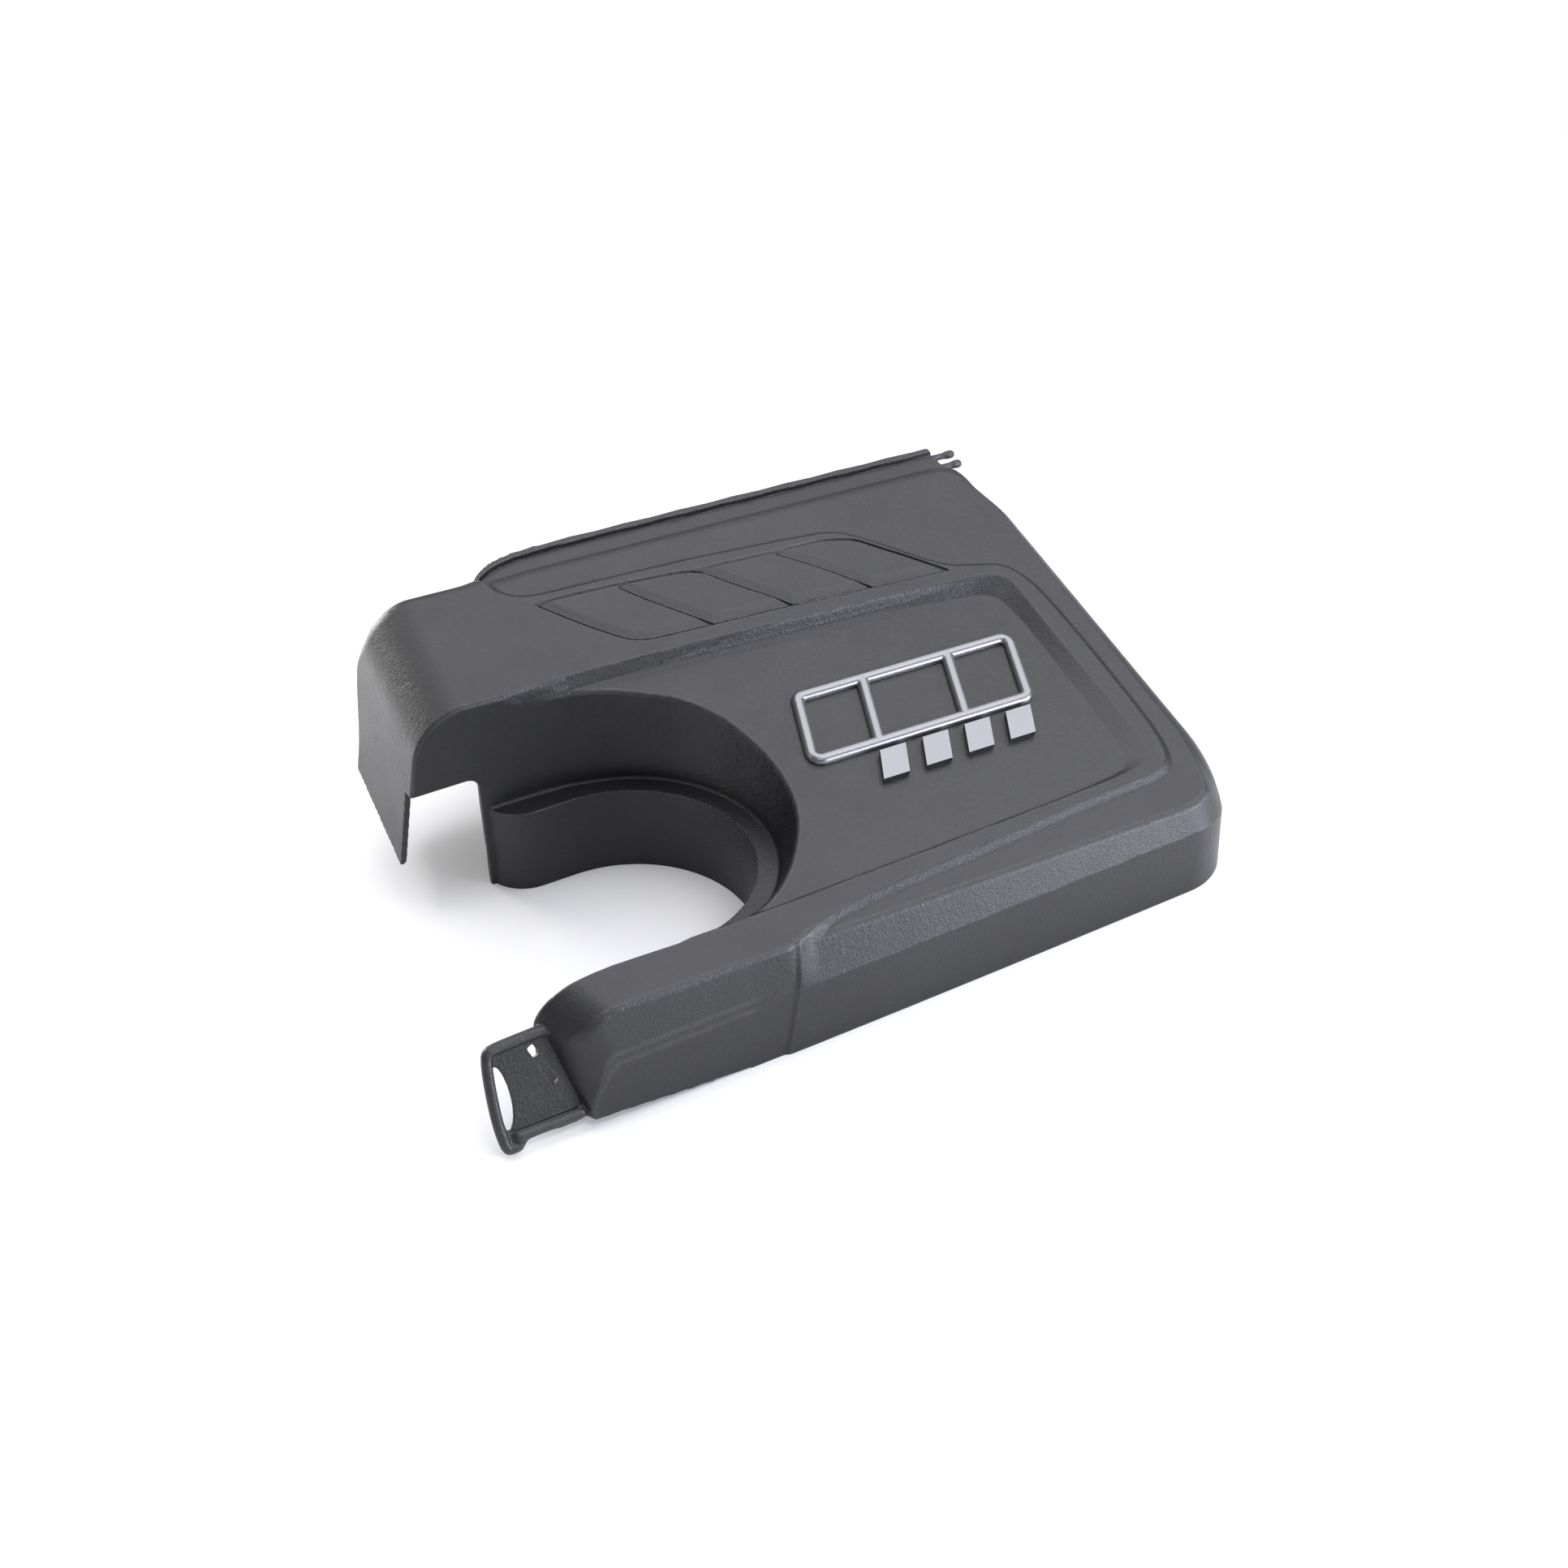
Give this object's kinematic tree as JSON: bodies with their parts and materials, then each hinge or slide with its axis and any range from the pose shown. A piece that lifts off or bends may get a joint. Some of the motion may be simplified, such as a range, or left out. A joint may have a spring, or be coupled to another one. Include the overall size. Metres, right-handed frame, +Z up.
{
  "type": "engine cover",
  "caption": "Moulded plastic engine cover with a stepped round cut-out, a sunk name field, a side flap, a hose loop on an arm and rubber ball-stud sockets underneath.",
  "frame": {"origin": "middle of the outline in plan, at the level of the front wall's foot", "axes": "+X to the right along the front wall, +Y to the rear, +Z up"},
  "size_m": [0.336, 0.234, 0.1062],
  "materials": {
    "cover": "fine moulded grain, satin black",
    "badge": "satin silver coating on plastic",
    "bars": "satin silver top on black plastic",
    "sockets": "plain black rubber"
  },
  "bodies": {
    "root": {"cover": "cover", "badge": "badge", "bar_1": "bars", "bar_2": "bars", "bar_3": "bars", "bar_4": "bars", "socket_1": "sockets", "socket_2": "sockets", "socket_3": "sockets", "socket_4": "sockets"}
  },
  "joints": []
}
